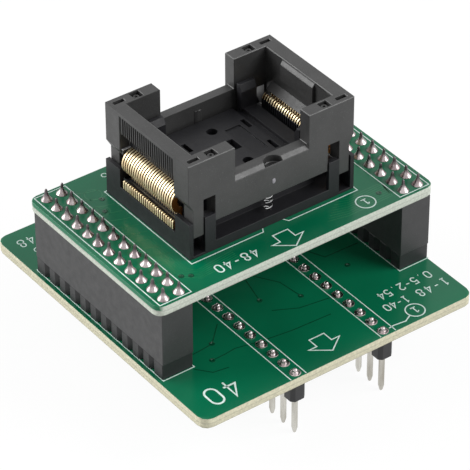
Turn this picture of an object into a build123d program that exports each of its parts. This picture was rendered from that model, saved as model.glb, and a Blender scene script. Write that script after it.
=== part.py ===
from build123d import *
import math
import os

# A chip programming adapter built from two stacked circuit boards.
# The base board stands on two rows of pins. Two pin headers on top of it plug into two
# socket strips under the adapter board, which carries an open-top spring socket for a
# 48-lead flat chip. Millimetres, +Z up, +X to the right along the front edge.
# The origin is the middle of the outline in plan, at the height of the pin tips.

os.makedirs("parts", exist_ok=True)

# Common sizes
PITCH = 2.54
PIN_W = 0.64
BOARD_T = 1.6
CUT_OVER = 1.0

# The two base pin rows
ROW_PIN_COUNT = 20
ROW_SPACING = 15.24
ROW_X_OFFSET = -0.1
PIN_FREE = 6.35
PIN_TIP_W = 0.32
PIN_TIP_LEN = 0.9
STRIP_H = 2.54
STRIP_W = 2.5
STRIP_END = 1.1

# Pin headers and the socket strips that fit them
HEADER_PIN_COUNT = 12
HEADER_SPACING = 41.16
HEADER_Y_OFFSET = 0.35
HEADER_W = 5.08
HEADER_END = 1.27
HEADER_PIN_FREE = 5.84
GROOVE_DEPTH = 0.62
HOUSING_H = 8.5
HOUSING_END = 1.42
HOLE_ALONG = 0.8
LEAF_T = 0.26
LEAF_W = 0.6
LEAF_GAP = 0.04
LEAF_RISE = 1.0
HOLE_MARGIN = 0.06

# Board edges past the strips that they carry
SIDE_MARGIN = 0.68
BASE_RIGHT_MARGIN = -0.07
BASE_BACK_MARGIN = 0.34
BASE_CORNER_R = 1.6
ADAPTER_FRONT_MARGIN = 0.08
ADAPTER_BACK_MARGIN = 0.3
ADAPTER_CORNER_R = 1.3
CORNER_STEP_COUNT = 3

# Solder on the pins
HEX_FLAT = math.cos(math.pi / 6)
SOLDER_R = 0.82
SOLDER_SIDE_COUNT = 5
SOLDER_H = 0.75
UNDER_SOLDER_H = 1.5
SPIKE_R = 0.78
SPIKE_NECK_R = 0.4
SPIKE_NECK_H = 0.62
SPIKE_H = 1.85

# Chip socket base, measured about the socket's own centre
SOCKET_Y = 0.9
SOCKET_HALF_X = 14.1
LEAD_COUNT = 24
LEAD_PITCH = 0.5
CHIP_END = 0.33
SEAT_RISE = 7.57
SEAT_HALF_X = 9.2
FLOOR_T = 1.57
WALL_T = 0.65
WALL_RISE = 5.82
WINDOW_SILL = 2.8
WINDOW_END = 0.75
GUIDE_T = 1.12
GUIDE_LEN = 2.7
GUIDE_RISE = 3.9
GUIDE_CHAMFER = 0.5
SEAT_GAP = 0.4
LATCH_W = 1.8
LATCH_T = 0.7
LATCH_RISE = 6.07
LATCH_PROUD = 0.2
HOOK_REACH = 0.45
HOOK_H = 0.6
LEG_POCKET_RISE = 0.4

# Holes and hollows in the chip seat
SEAT_HOLE_R = 0.78
SEAT_HOLE_Y = 4.25
SEAT_HOLE_DEPTH = 2.0
SEAT_SLOT_X = 5.1
SEAT_SLOT_Y = 3.1
SEAT_SLOT_W = 0.65
SEAT_SLOT_LEN = 2.1
SEAT_SQUARE = 2.4
SEAT_POCKET_X = (1.6, 4.15)
SEAT_POCKET_Y = (-3.3, 3.4)
SEAT_POCKET_DEPTH = 0.25
SEAT_GROOVE_EDGE = 2.3
SEAT_GROOVE_W = 1.2
SEAT_GROOVE_DEPTH = 0.6

# Socket cover, with drops measured down from its top
COVER_RISE = 15.37
COVER_GAP = 0.1
BAR_W = 2.25
BAR_CHAMFER = 0.2
BAR_SKIN_W = 0.6
BAR_BOTTOM_DROP = 5.9
END_WALL_T = 2.1
BLOCK_LEN = 7.8
MID_TOP_DROP = 5.0
MID_CHAMFER = 0.6
SKIRT_STEP_DROP = 6.2
SKIRT_STEP_H = 1.3
POST_BOTTOM_DROP = 7.6
WALL_BOTTOM_DROP = 10.7
LEG_BOTTOM_DROP = 12.2
LEG_W = 1.75
WINDOW_HEADROOM = 2.9
COMB_TOP_DROP = 0.6
COMB_BOTTOM_DROP = 3.6
COMB_FACE_IN = 0.2
COMB_DEPTH = 0.7
COMB_SLOT_W = 0.3
COMB_END = 0.6
TAB_HALF_Y = 3.7
TAB_REACH = 0.45
TAB_SLOPE_H = 0.8
TAB_H = 3.4
LIP_REACH = 1.15
LIP_H = 0.9
SLOT_POCKET = (1.75, 0.65)
SLOT_POCKET_IN = 1.6
SQUARE_POCKET = (1.5, 1.4)
SQUARE_POCKET_IN = 4.5
POCKET_DEPTH = 1.0
HALF_POCKET_X = 0.35
HALF_POCKET_R = 1.45
HALF_POCKET_SKIN = 0.12
HALF_POCKET_DEPTH = 1.2

# Socket contacts, a flat stamping with a sprung loop
CONTACT_T = 0.26
CONTACT_FOOT_W = 1.15
CONTACT_SHOULDER = 4.3
LOOP_PROUD = 0.1
LOOP_LOW = 5.7
LOOP_HIGH = 8.0
LOOP_TOP = 9.05
LOOP_TURN_IN = 1.2
LOOP_BAND = 0.5
TIP_OUT = 0.65
TIP_DROP = 0.75

# Return springs
SPRING_R = 0.6
SPRING_WIRE = 0.24
SPRING_TURN_COUNT = 3
SPRING_SIDE_COUNT = 5
SPRING_PLAY = 0.08
SPRING_BORE_DEPTH = 2.6
SPRING_BOSS_WALL = 0.45
SPRING_BOSS_TOP = 1.0

# Places that follow from the sizes above
Z_STRIP = PIN_FREE
Z_BASE = Z_STRIP + STRIP_H
Z_BASE_TOP = Z_BASE + BOARD_T
Z_HOUSING = Z_BASE_TOP + STRIP_H
Z_ADAPTER = Z_HOUSING + HOUSING_H
Z_SOCKET = Z_ADAPTER + BOARD_T
Z_COVER_TOP = Z_SOCKET + COVER_RISE
Z_SEAT = Z_SOCKET + SEAT_RISE
Z_FLOOR = Z_SOCKET + FLOOR_T
Z_COVER_BOTTOM = Z_COVER_TOP - WALL_BOTTOM_DROP
Z_POST = Z_COVER_TOP - POST_BOTTOM_DROP
Z_LEG = Z_COVER_TOP - LEG_BOTTOM_DROP
Z_COMB = Z_COVER_TOP - COMB_BOTTOM_DROP
Z_BAR = Z_COVER_TOP - BAR_BOTTOM_DROP
ROW_LEN = (ROW_PIN_COUNT - 1) * PITCH + 2 * STRIP_END
BASE_DEPTH = ROW_LEN + BASE_BACK_MARGIN
ROW_Y = (ROW_LEN - BASE_DEPTH) / 2
HOLE_ACROSS = PIN_W + 2 * (LEAF_GAP + LEAF_T + HOLE_MARGIN)
HOUSING_LEN = (HEADER_PIN_COUNT - 1) * PITCH + 2 * HOUSING_END
LEAD_HALF_Y = (LEAD_COUNT - 1) / 2 * LEAD_PITCH
CHIP_HALF_Y = LEAD_HALF_Y + CHIP_END
SEAT_HALF_Y = CHIP_HALF_Y + GUIDE_T
COVER_HALF_Y = SEAT_HALF_Y + SEAT_GAP + END_WALL_T
BASE_HALF_Y = COVER_HALF_Y + LATCH_PROUD
WALL_IN_X = SOCKET_HALF_X - WALL_T
SKIRT_X = WALL_IN_X - COVER_GAP
BAR_IN_X = SOCKET_HALF_X - BAR_W
LEG_IN_X = SKIRT_X - LEG_W
LATCH_OUT_X = LEG_IN_X - COVER_GAP
LATCH_IN_X = LATCH_OUT_X - LATCH_W
SPRING_Y = COVER_HALF_Y - END_WALL_T / 2
SPRING_BORE_R = SPRING_R + SPRING_WIRE / 2 + SPRING_PLAY


def block(x_range, y_range, z_range):
    """A straight block between three pairs of limits."""
    size = [b - a for a, b in (x_range, y_range, z_range)]
    middle = [(a + b) / 2 for a, b in (x_range, y_range, z_range)]
    return Pos(*middle) * Box(*size)


def plan_solid(points, z_low, z_high):
    """A solid with a flat outline in plan."""
    outline = make_face(Polyline(*points, close=True))
    return Pos(0, 0, z_low) * extrude(outline, z_high - z_low)


def side_solid(points, y_low, y_high):
    """A solid with its outline in the XZ plane, drawn along Y."""
    outline = make_face(Polyline(*[(x, 0, z) for x, z in points], close=True))
    return Pos(0, y_low, 0) * extrude(outline, y_high - y_low, dir=(0, 1, 0))


def end_solid(points, x_low, x_high):
    """A solid with its outline in the YZ plane, drawn along X."""
    outline = make_face(Polyline(*[(0, y, z) for y, z in points], close=True))
    return Pos(x_low, 0, 0) * extrude(outline, x_high - x_low, dir=(1, 0, 0))


def both_sides(solid):
    """A solid and its mirror image in the middle plane between left and right."""
    return solid + mirror(solid, about=Plane.YZ)


def front_and_back(solid):
    """A solid and its mirror image in the middle plane of the chip socket."""
    return solid + mirror(solid, about=Plane.XZ.offset(-SOCKET_Y))


def group(piece, places):
    """Separate copies of one piece."""
    return Compound(children=[Pos(x, y, z) * piece for x, y, z in places])


def row_ys(count, middle, pitch=PITCH):
    """Places of a row along Y."""
    return [middle + (i - (count - 1) / 2) * pitch for i in range(count)]


def tapered(face, inset, height):
    """A face drawn up with flat sides that close in by an even inset."""
    return extrude(face, height, taper=math.degrees(math.atan2(inset, height)))


def header_places(side, z):
    """The two pin columns of one header."""
    middle = side * HEADER_SPACING / 2
    columns = (middle - PITCH / 2, middle + PITCH / 2)
    return [(x, y, z) for x in columns for y in row_ys(HEADER_PIN_COUNT, HEADER_Y_OFFSET)]


def row_x(side):
    """The X place of one base pin row."""
    return ROW_X_OFFSET + side * ROW_SPACING / 2


def grooved_outline(width, pins, end):
    """The outline of a snap-off strip, with a V groove between each two pins."""
    half = (pins - 1) / 2 * PITCH + end
    edge = [(width / 2, -half)]
    for y in row_ys(pins - 1, 0):
        edge += [(width / 2, y - GROOVE_DEPTH), (width / 2 - GROOVE_DEPTH, y), (width / 2, y + GROOVE_DEPTH)]
    edge.append((width / 2, half))
    return edge + [(-x, -y) for x, y in edge]


def board_outline(left, right, front, back, radius):
    """A board outline with its corners rounded in a few straight steps."""
    step = math.pi / 2 / CORNER_STEP_COUNT
    middles = [(right - radius, back - radius), (left + radius, back - radius),
               (left + radius, front + radius), (right - radius, front + radius)]
    points = []
    for quarter, (x, y) in enumerate(middles):
        for i in range(CORNER_STEP_COUNT + 1):
            turn = quarter * math.pi / 2 + i * step
            points.append((x + radius * math.cos(turn), y + radius * math.sin(turn)))
    return points


def base_board():
    """The lower board, which carries the pin rows below and the headers on top."""
    header_edge = (HEADER_SPACING + HEADER_W) / 2
    points = board_outline(-header_edge - SIDE_MARGIN, header_edge + BASE_RIGHT_MARGIN,
                           -BASE_DEPTH / 2, BASE_DEPTH / 2, BASE_CORNER_R)
    return plan_solid(points, Z_BASE, Z_BASE_TOP)


def adapter_board():
    """The upper board, which carries the socket strips below and the chip socket on top."""
    half = (HEADER_SPACING + HEADER_W) / 2 + SIDE_MARGIN
    front = HEADER_Y_OFFSET - HOUSING_LEN / 2 - ADAPTER_FRONT_MARGIN
    back = HEADER_Y_OFFSET + HOUSING_LEN / 2 + ADAPTER_BACK_MARGIN
    return plan_solid(board_outline(-half, half, front, back, ADAPTER_CORNER_R), Z_ADAPTER, Z_SOCKET)


def dip_strip(side):
    """The plastic strip of one base pin row."""
    holes = [Pos(0, y) * Rectangle(PIN_W, PIN_W) for y in row_ys(ROW_PIN_COUNT, 0)]
    strip = extrude(Rectangle(STRIP_W, ROW_LEN) - holes, STRIP_H)
    return Pos(row_x(side), ROW_Y, Z_STRIP) * strip


def dip_pins(side):
    """Square pins from the tips to the underside of the base board."""
    tip = Rot(180, 0, 0) * tapered(Rectangle(PIN_W, PIN_W), (PIN_W - PIN_TIP_W) / 2, PIN_TIP_LEN)
    pin = Pos(0, 0, PIN_TIP_LEN) * (tip + extrude(Rectangle(PIN_W, PIN_W), Z_BASE - PIN_TIP_LEN))
    return group(pin, [(row_x(side), y, 0) for y in row_ys(ROW_PIN_COUNT, ROW_Y)])


def dip_solder(side):
    """The solder on the pin ends, on top of the base board."""
    places = [(row_x(side), y, Z_BASE_TOP) for y in row_ys(ROW_PIN_COUNT, ROW_Y)]
    return group(loft([RegularPolygon(SOLDER_R, SOLDER_SIDE_COUNT), Vertex(0, 0, SOLDER_H)]), places)


def header_plastic(side):
    """A snap-off header strip on the base board, with its square pin holes."""
    face = make_face(Polyline(*grooved_outline(HEADER_W, HEADER_PIN_COUNT, HEADER_END), close=True))
    holes = [Pos(x, y) * Rectangle(PIN_W, PIN_W)
             for x in (-PITCH / 2, PITCH / 2) for y in row_ys(HEADER_PIN_COUNT, 0)]
    return Pos(side * HEADER_SPACING / 2, HEADER_Y_OFFSET, Z_BASE_TOP) * extrude(face - holes, STRIP_H)


def header_pins(side):
    """The pins of one header, from the base board up into the socket strip."""
    pin = extrude(Rectangle(PIN_W, PIN_W), STRIP_H + HEADER_PIN_FREE)
    return group(pin, header_places(side, Z_BASE_TOP))


def header_solder(side):
    """The soldered pin ends under the base board."""
    joint = loft([RegularPolygon(SOLDER_R, 4), Vertex(0, 0, -UNDER_SOLDER_H)])
    return group(joint, header_places(side, Z_BASE))


def socket_housing(side):
    """A tall socket strip with a slot for each pin and its contact."""
    slots = [Pos(x, y) * Rectangle(HOLE_ACROSS, HOLE_ALONG)
             for x in (-PITCH / 2, PITCH / 2) for y in row_ys(HEADER_PIN_COUNT, 0)]
    strip = extrude(Rectangle(HEADER_W, HOUSING_LEN) - slots, HOUSING_H)
    return Pos(side * HEADER_SPACING / 2, HEADER_Y_OFFSET, Z_HOUSING) * strip


def socket_contacts(side):
    """The sprung leaves that press on the header pins."""
    leaf = extrude(Rectangle(LEAF_T, LEAF_W), HOUSING_H - LEAF_RISE)
    seated = Pos(PIN_W / 2 + LEAF_GAP + LEAF_T / 2, 0, 0) * leaf
    return group(seated, header_places(side, Z_HOUSING + LEAF_RISE))


def soldered_tails(side):
    """The contact tails, cut to a point and wetted with solder."""
    neck = Pos(0, 0, SPIKE_NECK_H) * RegularPolygon(SPIKE_NECK_R, 6)
    foot = tapered(RegularPolygon(SPIKE_R, 6), (SPIKE_R - SPIKE_NECK_R) * HEX_FLAT, SPIKE_NECK_H)
    point = loft([neck, Vertex(0, 0, SPIKE_H)])
    return group(foot + point, header_places(side, Z_SOCKET))


def socket_y(*limits):
    """Limits along Y, given from the chip socket's centre."""
    return tuple(SOCKET_Y + y for y in limits)


def seat_outline():
    """The cross section of the socket base: floor, end walls and the raised seat."""
    wall_top = Z_SOCKET + WALL_RISE
    groove_out = SEAT_HALF_X - SEAT_GROOVE_EDGE
    groove_in = groove_out - SEAT_GROOVE_W
    groove_z = Z_SEAT - SEAT_GROOVE_DEPTH
    half = [
        (SOCKET_HALF_X, Z_SOCKET), (SOCKET_HALF_X, wall_top), (WALL_IN_X, wall_top), (WALL_IN_X, Z_FLOOR),
        (SEAT_HALF_X, Z_FLOOR), (SEAT_HALF_X, Z_SEAT), (groove_out, Z_SEAT), (groove_out, groove_z),
        (groove_in, groove_z), (groove_in, Z_SEAT),
    ]
    return half + [(-x, z) for x, z in reversed(half)]


def seat_cuts():
    """The holes, slots and shallow pocket in the chip seat."""
    top = Z_SEAT + CUT_OVER
    half = SEAT_SQUARE / 2
    cuts = [
        block((-half, half), socket_y(-half, half), (Z_SEAT - SEAT_HOLE_DEPTH, top)),
        block(SEAT_POCKET_X, socket_y(*SEAT_POCKET_Y), (Z_SEAT - SEAT_POCKET_DEPTH, top)),
    ]
    slot = Box(SEAT_SLOT_W, SEAT_SLOT_LEN, 2 * SEAT_HOLE_DEPTH)
    hole = Cylinder(SEAT_HOLE_R, 2 * SEAT_HOLE_DEPTH)
    for sy in (-1, 1):
        cuts.append(Pos(0, SOCKET_Y + sy * SEAT_HOLE_Y, Z_SEAT) * hole)
        cuts += [Pos(sx * SEAT_SLOT_X, SOCKET_Y + sy * SEAT_SLOT_Y, Z_SEAT) * slot for sx in (-1, 1)]
    return cuts


def chip_guides():
    """The sloped corner guides that centre the chip on its seat."""
    high = Z_SEAT + GUIDE_RISE
    near, far = socket_y(CHIP_HALF_Y, SEAT_HALF_Y)
    profile = [(near, Z_SEAT), (far, Z_SEAT), (far, high), (near + GUIDE_CHAMFER, high),
               (near, high - 2 * GUIDE_CHAMFER)]
    guide = end_solid(profile, SEAT_HALF_X - GUIDE_LEN, SEAT_HALF_X)
    return front_and_back(both_sides(guide))


def latch_arm():
    """A hooked arm of the base that keeps the cover on."""
    face = SOCKET_Y - BASE_HALF_Y
    back = face + LATCH_T
    top = Z_SOCKET + LATCH_RISE
    profile = [(face, Z_SOCKET), (back, Z_SOCKET), (back, top - HOOK_H),
               (back + HOOK_REACH, top - HOOK_H), (back, top), (face, top)]
    return end_solid(profile, LATCH_IN_X, LATCH_OUT_X)


def test_socket_base():
    """The socket base: seat, contact troughs, end walls, guides and latch arms."""
    body = side_solid(seat_outline(), *socket_y(-BASE_HALF_Y, BASE_HALF_Y))
    for sign in (-1, 1):
        ends = sorted((SOCKET_Y + sign * SEAT_HALF_Y, SOCKET_Y + sign * (BASE_HALF_Y + CUT_OVER)))
        body -= block((-WALL_IN_X, WALL_IN_X), ends, (Z_FLOOR, Z_SEAT + CUT_OVER))
    window_end = LEAD_HALF_Y + WINDOW_END
    window = block((WALL_IN_X - CUT_OVER, SOCKET_HALF_X + CUT_OVER), socket_y(-window_end, window_end),
                   (Z_SOCKET + WINDOW_SILL, Z_SOCKET + WALL_RISE + CUT_OVER))
    body -= both_sides(window)
    pocket_back = SOCKET_Y - COVER_HALF_Y + END_WALL_T + COVER_GAP
    pocket = block((LATCH_OUT_X, WALL_IN_X), (SOCKET_Y - BASE_HALF_Y - CUT_OVER, pocket_back),
                   (Z_SOCKET + LEG_POCKET_RISE, Z_FLOOR + CUT_OVER))
    body -= front_and_back(both_sides(pocket))
    body -= seat_cuts()
    body += chip_guides()
    body += front_and_back(both_sides(latch_arm()))
    return body


def cover_frame():
    """The cover's ring of end bars, corner blocks and low middle walls."""
    y_low, y_high = socket_y(-COVER_HALF_Y, COVER_HALF_Y)
    step = Z_COVER_TOP - SKIRT_STEP_DROP
    half = [(SKIRT_X, Z_POST), (SKIRT_X, step - SKIRT_STEP_H), (SOCKET_HALF_X, step),
            (SOCKET_HALF_X, Z_COVER_TOP)]
    ring = side_solid(half + [(-x, z) for x, z in reversed(half)], y_low, y_high)
    chamfer_z = Z_COVER_TOP - BAR_CHAMFER
    inside = [(BAR_IN_X, Z_POST - CUT_OVER), (BAR_IN_X, chamfer_z), (BAR_IN_X + BAR_CHAMFER, Z_COVER_TOP),
              (BAR_IN_X + BAR_CHAMFER, Z_COVER_TOP + CUT_OVER)]
    return ring - side_solid(inside + [(-x, z) for x, z in reversed(inside)],
                             y_low + END_WALL_T, y_high - END_WALL_T)


def cover_end_wall():
    """The front wall of the cover below its corner blocks, with its guide legs."""
    y_low = SOCKET_Y - COVER_HALF_Y
    half = [(LEG_IN_X, Z_COVER_BOTTOM), (LEG_IN_X, Z_LEG), (SKIRT_X, Z_LEG), (SKIRT_X, Z_POST)]
    return side_solid(half + [(-x, z) for x, z in reversed(half)], y_low, y_low + END_WALL_T)


def latch_window():
    """The window over a latch arm, and the channel that leads the arm up to its catch."""
    x_range = (LATCH_IN_X - COVER_GAP, LEG_IN_X)
    y_low = SOCKET_Y - COVER_HALF_Y
    catch = Z_SOCKET + LATCH_RISE - HOOK_H - COVER_GAP
    window_top = Z_SOCKET + LATCH_RISE + WINDOW_HEADROOM
    window = block(x_range, (y_low - CUT_OVER, y_low + END_WALL_T + CUT_OVER), (catch, window_top))
    arm_back = SOCKET_Y - BASE_HALF_Y + LATCH_T + COVER_GAP
    return window + block(x_range, (y_low - CUT_OVER, arm_back), (Z_LEG - CUT_OVER, catch + CUT_OVER))


def middle_cut():
    """The low middle of the front wall, cut out above the chip seat, with its sloped edge."""
    y_low = SOCKET_Y - COVER_HALF_Y
    y_back = y_low + END_WALL_T + CUT_OVER
    low = Z_COVER_TOP - MID_TOP_DROP
    high = Z_COVER_TOP + CUT_OVER
    profile = [
        (y_low - CUT_OVER, high), (y_low - CUT_OVER, low - MID_CHAMFER), (y_low, low - MID_CHAMFER),
        (y_low + MID_CHAMFER, low), (y_back, low), (y_back, high),
    ]
    block_end = SOCKET_HALF_X - BLOCK_LEN
    return end_solid(profile, -block_end, block_end)


def spring_boss():
    """The half-round boss inside the front wall that holds a return spring."""
    y_wall = SOCKET_Y - COVER_HALF_Y + END_WALL_T
    radius = SPRING_BORE_R + SPRING_BOSS_WALL
    disc = Pos(0, SOCKET_Y - SPRING_Y) * Circle(radius)
    inside = Pos(0, y_wall + radius / 2) * Rectangle(2 * radius, radius)
    height = Z_COVER_TOP - MID_TOP_DROP - SPRING_BOSS_TOP - Z_COVER_BOTTOM
    return Pos(0, 0, Z_COVER_BOTTOM) * extrude(disc & inside, height)


def comb_cut():
    """The window in the right end bar, down to the toothed face behind it."""
    face = SOCKET_HALF_X - COMB_FACE_IN
    root = face - COMB_DEPTH
    outside = SOCKET_HALF_X + CUT_OVER
    y_low, y_high = socket_y(-LEAD_HALF_Y - COMB_END, LEAD_HALF_Y + COMB_END)
    points = [(outside, y_low), (outside, y_high), (face, y_high)]
    for y in reversed(row_ys(LEAD_COUNT, SOCKET_Y, LEAD_PITCH)):
        far, near = y + COMB_SLOT_W / 2, y - COMB_SLOT_W / 2
        points += [(face, far), (root, far), (root, near), (face, near)]
    points.append((face, y_low))
    return plan_solid(points, Z_COMB - CUT_OVER, Z_COVER_TOP - COMB_TOP_DROP)


def bar_underside_cut():
    """The room under the right end bar for the contact loops, up to its inner skin and its comb."""
    y_range = socket_y(-LEAD_HALF_Y - COMB_END, LEAD_HALF_Y + COMB_END)
    outside = SOCKET_HALF_X + CUT_OVER
    below = block((BAR_IN_X - CUT_OVER, outside), y_range, (Z_POST - CUT_OVER, Z_BAR))
    return below + block((BAR_IN_X + BAR_SKIN_W, outside), y_range, (Z_POST - CUT_OVER, Z_COMB))


def bar_tab():
    """The sloped tab on the inner edge of the right end bar."""
    root = BAR_IN_X + BAR_CHAMFER
    face = BAR_IN_X - TAB_REACH
    low = Z_COVER_TOP - TAB_H
    profile = [(root, Z_COVER_TOP), (face, Z_COVER_TOP - TAB_SLOPE_H), (face, low), (root, low)]
    return side_solid(profile, *socket_y(-TAB_HALF_Y, TAB_HALF_Y))


def bar_lip():
    """The sloped lip along the bottom of the right end bar, over the contact tips."""
    profile = [(BAR_IN_X, Z_BAR + LIP_H), (BAR_IN_X - LIP_REACH, Z_BAR), (BAR_IN_X, Z_BAR)]
    return side_solid(profile, *socket_y(-CHIP_HALF_Y, CHIP_HALF_Y))


def top_pockets():
    """The moulding pockets in the tops of the corner blocks."""
    y = SOCKET_Y - COVER_HALF_Y + END_WALL_T / 2
    slot = Box(*SLOT_POCKET, 2 * POCKET_DEPTH)
    square = Box(*SQUARE_POCKET, 2 * POCKET_DEPTH)
    pair = (Pos(SOCKET_HALF_X - SLOT_POCKET_IN, y, Z_COVER_TOP) * slot
            + Pos(SOCKET_HALF_X - SQUARE_POCKET_IN, y, Z_COVER_TOP) * square)
    return front_and_back(both_sides(pair))


def spring_bores():
    """The blind bores for the return springs."""
    bore = Cylinder(SPRING_BORE_R, 2 * SPRING_BORE_DEPTH)
    return front_and_back(Pos(0, SOCKET_Y - SPRING_Y, Z_COVER_BOTTOM) * bore)


def half_pocket():
    """The half-round pocket in the top of the low front wall, just behind its outer skin."""
    y_flat = SOCKET_Y - COVER_HALF_Y + HALF_POCKET_SKIN
    behind = Pos(0, HALF_POCKET_R / 2) * Rectangle(2 * HALF_POCKET_R, HALF_POCKET_R)
    pocket = extrude(Circle(HALF_POCKET_R) & behind, 2 * HALF_POCKET_DEPTH)
    low = Z_COVER_TOP - MID_TOP_DROP - HALF_POCKET_DEPTH
    return Pos(HALF_POCKET_X, y_flat, low) * pocket


def test_socket_cover():
    """The sprung cover that opens the contacts when it is pressed down."""
    cover = cover_frame() + front_and_back(cover_end_wall())
    cover -= front_and_back(both_sides(latch_window()))
    cover -= front_and_back(middle_cut())
    cover -= both_sides(bar_underside_cut())
    cover -= both_sides(comb_cut())
    cover += front_and_back(spring_boss())
    cover += both_sides(bar_tab() + bar_lip())
    return cover - top_pockets() - spring_bores() - half_pocket()


def chip_contacts(side):
    """One row of stamped contacts: a foot, an open loop and a tip over the chip seat."""
    foot_out = SKIRT_X
    foot_in = foot_out - CONTACT_FOOT_W
    loop_out = SOCKET_HALF_X + LOOP_PROUD
    loop_in = loop_out - LOOP_BAND
    turn = SOCKET_HALF_X - LOOP_TURN_IN
    tip = SEAT_HALF_X + TIP_OUT
    shoulder = Z_SOCKET + CONTACT_SHOULDER
    low = Z_SOCKET + LOOP_LOW
    high = Z_SOCKET + LOOP_HIGH
    top = Z_SOCKET + LOOP_TOP
    profile = [
        (foot_out, Z_FLOOR), (foot_out, shoulder), (loop_out, low), (loop_out, high), (turn, top),
        (tip, top), (tip, top - TIP_DROP), (turn - LOOP_BAND / 2, top - LOOP_BAND),
        (loop_in, high - LOOP_BAND / 2), (loop_in, low), (foot_in, shoulder), (foot_in, Z_FLOOR),
    ]
    contact = side_solid([(side * x, z) for x, z in profile], -CONTACT_T / 2, CONTACT_T / 2)
    return group(contact, [(0, y, 0) for y in row_ys(LEAD_COUNT, SOCKET_Y, LEAD_PITCH)])


def return_spring(side):
    """A coil spring between the socket floor and the cover, with straight-sided turns."""
    height = Z_COVER_BOTTOM + SPRING_BORE_DEPTH - Z_FLOOR - 2 * SPRING_WIRE
    steps = SPRING_TURN_COUNT * SPRING_SIDE_COUNT
    turn = math.tau / SPRING_SIDE_COUNT
    path = Polyline(*[
        (SPRING_R * math.cos(turn * i), SPRING_R * math.sin(turn * i), height * i / steps)
        for i in range(steps + 1)
    ])
    wire = Plane(path @ 0, z_dir=path % 0) * Rectangle(SPRING_WIRE, SPRING_WIRE)
    coil = sweep(wire, path, transition=Transition.RIGHT)
    return Pos(0, SOCKET_Y + side * SPRING_Y, Z_FLOOR + SPRING_WIRE) * coil


PIECES = {"base_board": base_board(), "adapter_board": adapter_board()}
for name, side in (("left", -1), ("right", 1)):
    PIECES[name + "_dip_strip"] = dip_strip(side)
    PIECES[name + "_dip_pins"] = dip_pins(side)
    PIECES[name + "_dip_solder"] = dip_solder(side)
    PIECES[name + "_header_strip"] = header_plastic(side)
    PIECES[name + "_header_pins"] = header_pins(side)
    PIECES[name + "_header_solder"] = header_solder(side)
    PIECES[name + "_socket_housing"] = socket_housing(side)
    PIECES[name + "_socket_leaves"] = socket_contacts(side)
    PIECES[name + "_soldered_tails"] = soldered_tails(side)
    PIECES[name + "_chip_contacts"] = chip_contacts(side)
PIECES["test_socket_base"] = test_socket_base()
PIECES["test_socket_cover"] = test_socket_cover()
PIECES["front_return_spring"] = return_spring(-1)
PIECES["rear_return_spring"] = return_spring(1)

for node, shape in PIECES.items():
    export_step(shape, f"parts/{node}.step")
    print(node, round(shape.volume, 3))
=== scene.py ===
import math

import bmesh
import bpy
from mathutils import Matrix, Vector


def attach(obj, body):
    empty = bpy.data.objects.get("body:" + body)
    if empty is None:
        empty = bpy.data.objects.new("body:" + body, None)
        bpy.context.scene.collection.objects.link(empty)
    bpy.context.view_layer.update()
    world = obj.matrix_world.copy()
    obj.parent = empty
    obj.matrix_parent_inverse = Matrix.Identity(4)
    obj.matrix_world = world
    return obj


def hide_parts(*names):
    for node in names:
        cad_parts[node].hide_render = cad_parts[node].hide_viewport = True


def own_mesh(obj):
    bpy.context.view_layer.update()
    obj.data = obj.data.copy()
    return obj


# The adapter's look: materials on its solids, and finer pieces for the solder, the sprung
# contacts, the springs, the snap-off strips, the moulding marks and the printed marks.
# Sizes of shapes are in millimetres; pieces are scaled to metres when they are made.

MM = 0.001
SIDES = (("left", -1), ("right", 1))

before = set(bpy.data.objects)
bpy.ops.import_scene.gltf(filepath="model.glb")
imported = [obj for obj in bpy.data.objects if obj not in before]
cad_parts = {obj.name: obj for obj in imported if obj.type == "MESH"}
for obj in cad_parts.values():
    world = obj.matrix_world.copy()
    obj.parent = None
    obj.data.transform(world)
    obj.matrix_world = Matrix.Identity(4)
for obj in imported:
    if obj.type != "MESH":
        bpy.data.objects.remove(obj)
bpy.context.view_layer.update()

# Levels and places that match the solids
BASE_TOP = 10.49
BASE_UNDER = 8.89
ADAPTER_TOP = 23.13
ADAPTER_UNDER = ADAPTER_TOP - 1.6
STRIP_LOW = 6.35
PITCH = 2.54
ROW_X = {"left": -7.72, "right": 7.52}
ROW_Y = -0.17
ROW_PINS = 20
HEADER_X = 20.58
HEADER_Y = 0.35
HEADER_PINS = 12
SOCKET_Y = 0.9
SOCKET_FLOOR = 24.7
LEADS = 24
LEAD_PITCH = 0.5
CONTACT_T = 0.26
SPRING_Y = 8.65
SPRING_TOP = 30.3

# Printed marks and tracks
INK_T = 0.02
TRACK_T = 0.008
LINE_W = 0.15
MARK_W = 0.19


def srgb(red, green, blue):
    """A colour from its 8-bit display values."""
    def linear(value):
        value /= 255
        return value / 12.92 if value <= 0.04045 else ((value + 0.055) / 1.055) ** 2.4
    return (linear(red), linear(green), linear(blue), 1.0)


def scaled(color, factor):
    """The same colour, lighter or darker."""
    return tuple(min(1.0, part * factor) for part in color[:3]) + (1.0,)


# Materials
def new_material(name, roughness, metallic=0.0, specular=0.5):
    """A material with one shader; its colour and roughness detail are linked by the callers."""
    mat = bpy.data.materials.new(name)
    mat.use_nodes = True
    shader = mat.node_tree.nodes["Principled BSDF"]
    shader.inputs["Roughness"].default_value = roughness
    shader.inputs["Metallic"].default_value = metallic
    shader.inputs["Specular IOR Level"].default_value = specular
    return mat, shader


def add_node(mat, kind, **inputs):
    """A node with some of its inputs set or linked."""
    made = mat.node_tree.nodes.new(kind)
    for name, value in inputs.items():
        socket = made.inputs[name.replace("_", " ")]
        if isinstance(value, bpy.types.NodeSocket):
            mat.node_tree.links.new(value, socket)
        else:
            socket.default_value = value
    return made


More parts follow.
